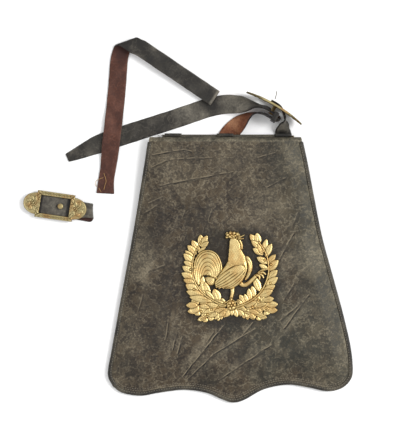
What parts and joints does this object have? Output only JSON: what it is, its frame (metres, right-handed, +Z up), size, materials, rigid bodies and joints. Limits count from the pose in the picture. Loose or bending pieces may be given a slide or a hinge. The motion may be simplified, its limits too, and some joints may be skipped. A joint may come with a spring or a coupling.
{
  "type": "sabretache",
  "caption": "Cavalry sabretache with a scalloped leather flap, a gilt cock-and-wreath badge, brass rings, a long sling with its buckle, and a broken sling and buckle lying beside it.",
  "frame": {"origin": "on the floor, under the middle of everything that lies on it", "axes": "+Z up, out of the flap's face; +Y from the scalloped hem towards the top fold; +X to the right of the badge as it is read"},
  "size_m": [0.4288, 0.4754, 0.035],
  "materials": {
    "face_leather": "worn black leather gone grey-brown",
    "edge_leather": "dark matt leather",
    "strap_leather": "grey-black grain, tan flesh side",
    "flesh_leather": "red-brown flesh side, grey-black grain side",
    "brass": "old dull gilt brass",
    "gilt": "bright gilt casting"
  },
  "bodies": {
    "root": {"flap": "face_leather", "edge_binding": "edge_leather", "pouch_front": "edge_leather", "back_panel": "edge_leather", "badge": "gilt", "ring_left": "brass", "ring_centre": "brass", "ring_right": "brass", "ring_tab_left": "edge_leather", "ring_tab_centre": "edge_leather", "ring_tab_right": "edge_leather", "sling_strap": "strap_leather", "buckle_frame": "brass", "buckle_stud": "brass", "buckle_chape": "strap_leather", "buckle_keeper": "strap_leather", "loose_strap": "flesh_leather", "loose_buckle_frame": "brass", "loose_stud": "brass", "loose_buckle_chape": "strap_leather"}
  },
  "joints": []
}
